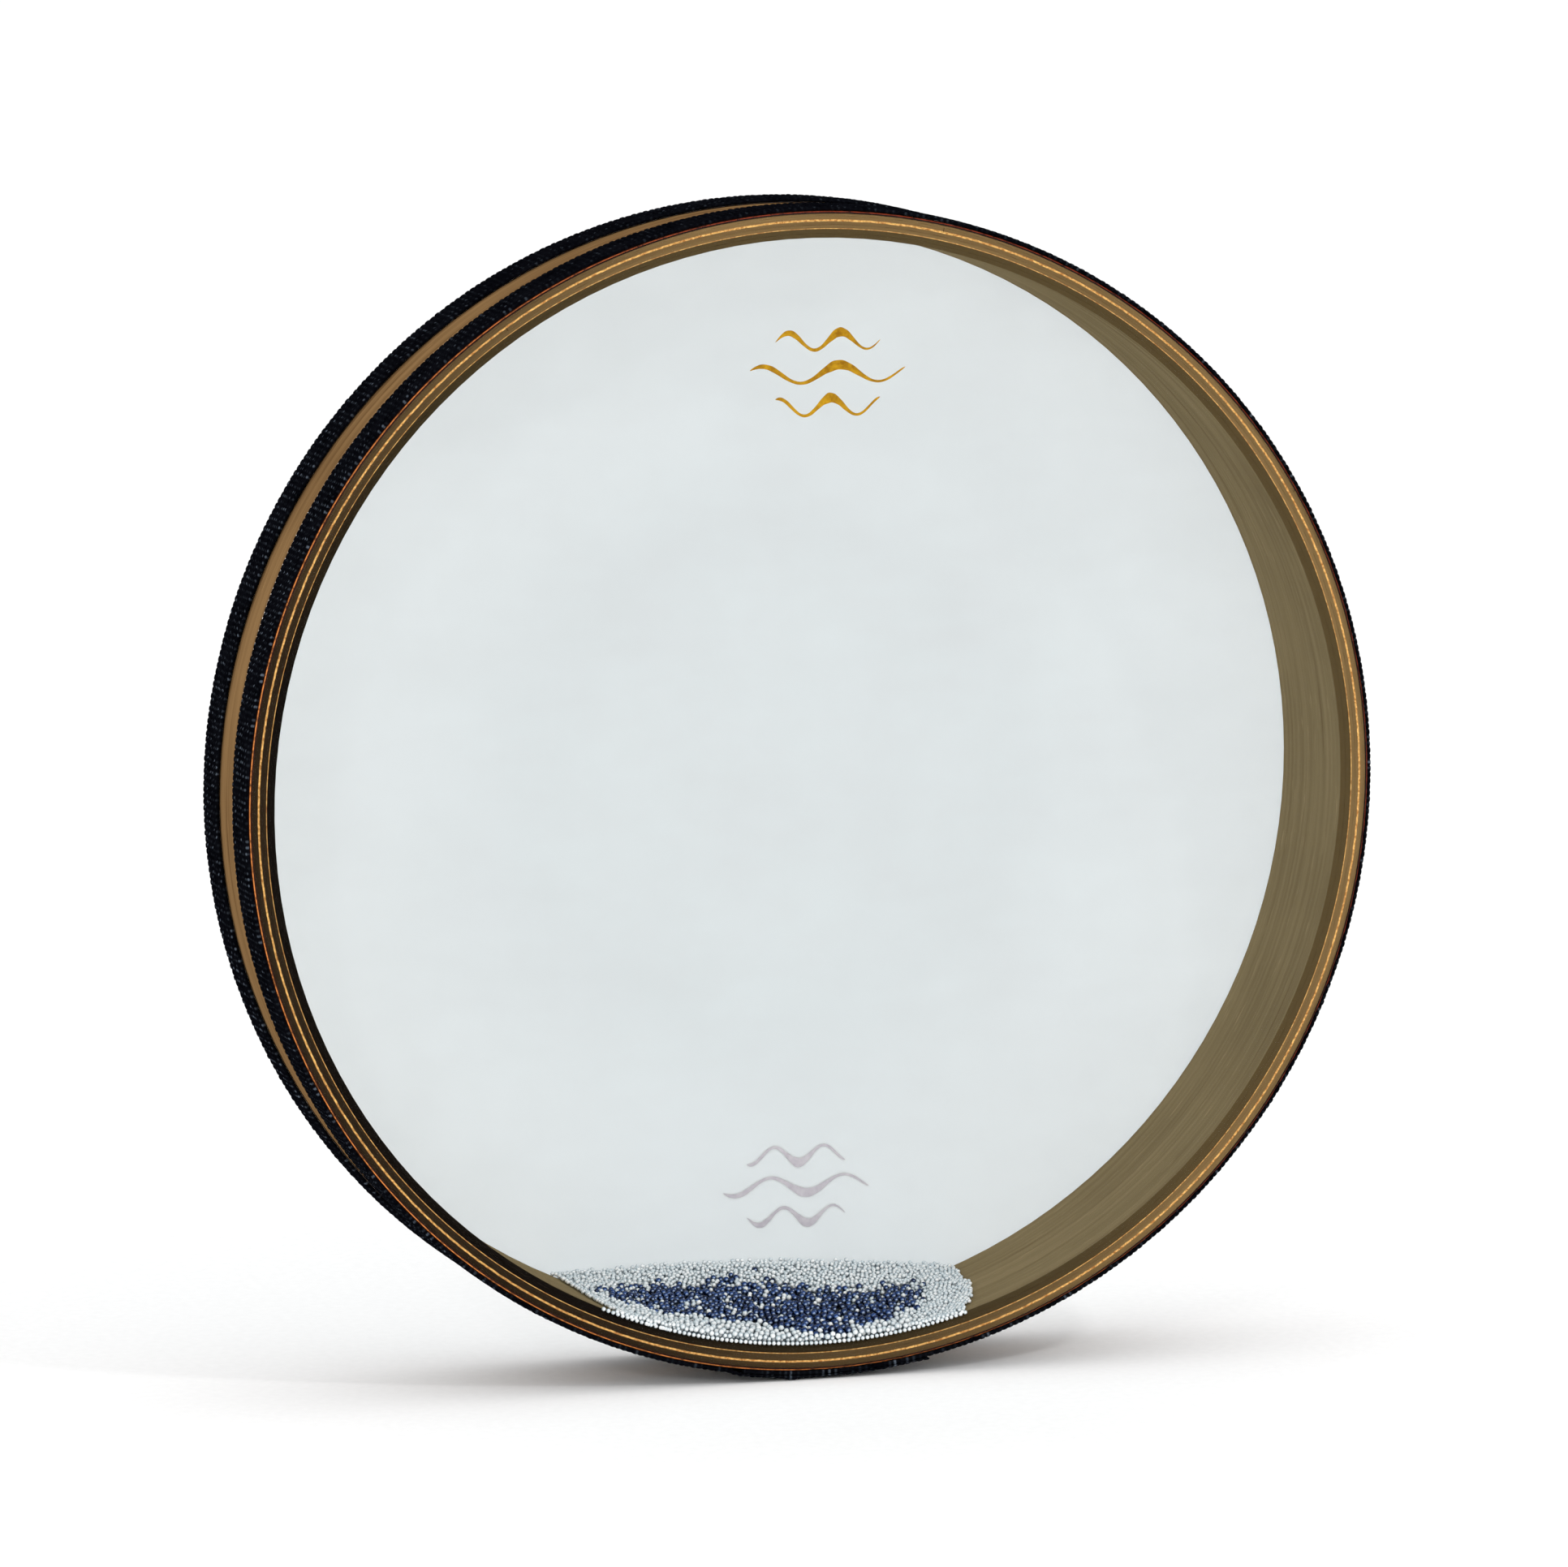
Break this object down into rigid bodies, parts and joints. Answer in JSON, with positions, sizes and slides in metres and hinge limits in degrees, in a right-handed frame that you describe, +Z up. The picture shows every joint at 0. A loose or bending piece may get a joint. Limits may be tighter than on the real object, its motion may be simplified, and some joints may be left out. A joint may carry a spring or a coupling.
{
  "type": "ocean drum",
  "caption": "Round two-headed frame drum stood on its rim: ply wood shell, clear front film head, white back head, black webbing rims and loose white and blue beads inside.",
  "frame": {"origin": "centre of the drum: on the shell's axis, midway between the two heads", "axes": "+Y along the drum's axis from the clear front head to the white back head; +Z up as the drum stands on its rim, with the beads at the lowest point; +X to the right seen from the clear head"},
  "size_m": [0.4104, 0.064, 0.412],
  "materials": {
    "face_ply": "satin lacquer, olive brown inside and tan outside",
    "core_ply": "sanded edge, clear lacquer",
    "clear_film": "clear polyester film",
    "white_film": "white coated polyester film",
    "bond": "amber contact cement",
    "staple_wire": "galvanised",
    "webbing": "ribbed woven webbing",
    "white_bead": "glossy pearl white",
    "blue_bead": "glossy metallic dark blue"
  },
  "bodies": {
    "drum": {"shell_ply_1": "face_ply", "shell_ply_6": "face_ply", "shell_ply_2": "core_ply", "shell_ply_3": "core_ply", "shell_ply_4": "core_ply", "shell_ply_5": "core_ply", "front_head": "clear_film", "back_head": "white_film", "front_skirt_bond": "bond", "back_skirt_bond": "bond", "front_staples": "staple_wire", "back_staples": "staple_wire", "front_webbing": "webbing", "back_webbing": "webbing"},
    "bead_load": {"white_beads": "white_bead", "blue_beads": "blue_bead"}
  },
  "joints": [
    {"name": "beads_roll", "type": "hinge", "parent": "drum", "child": "bead_load", "pos_m": [0, 0, 0], "axis": [0, 1, 0], "continuous": true}
  ]
}
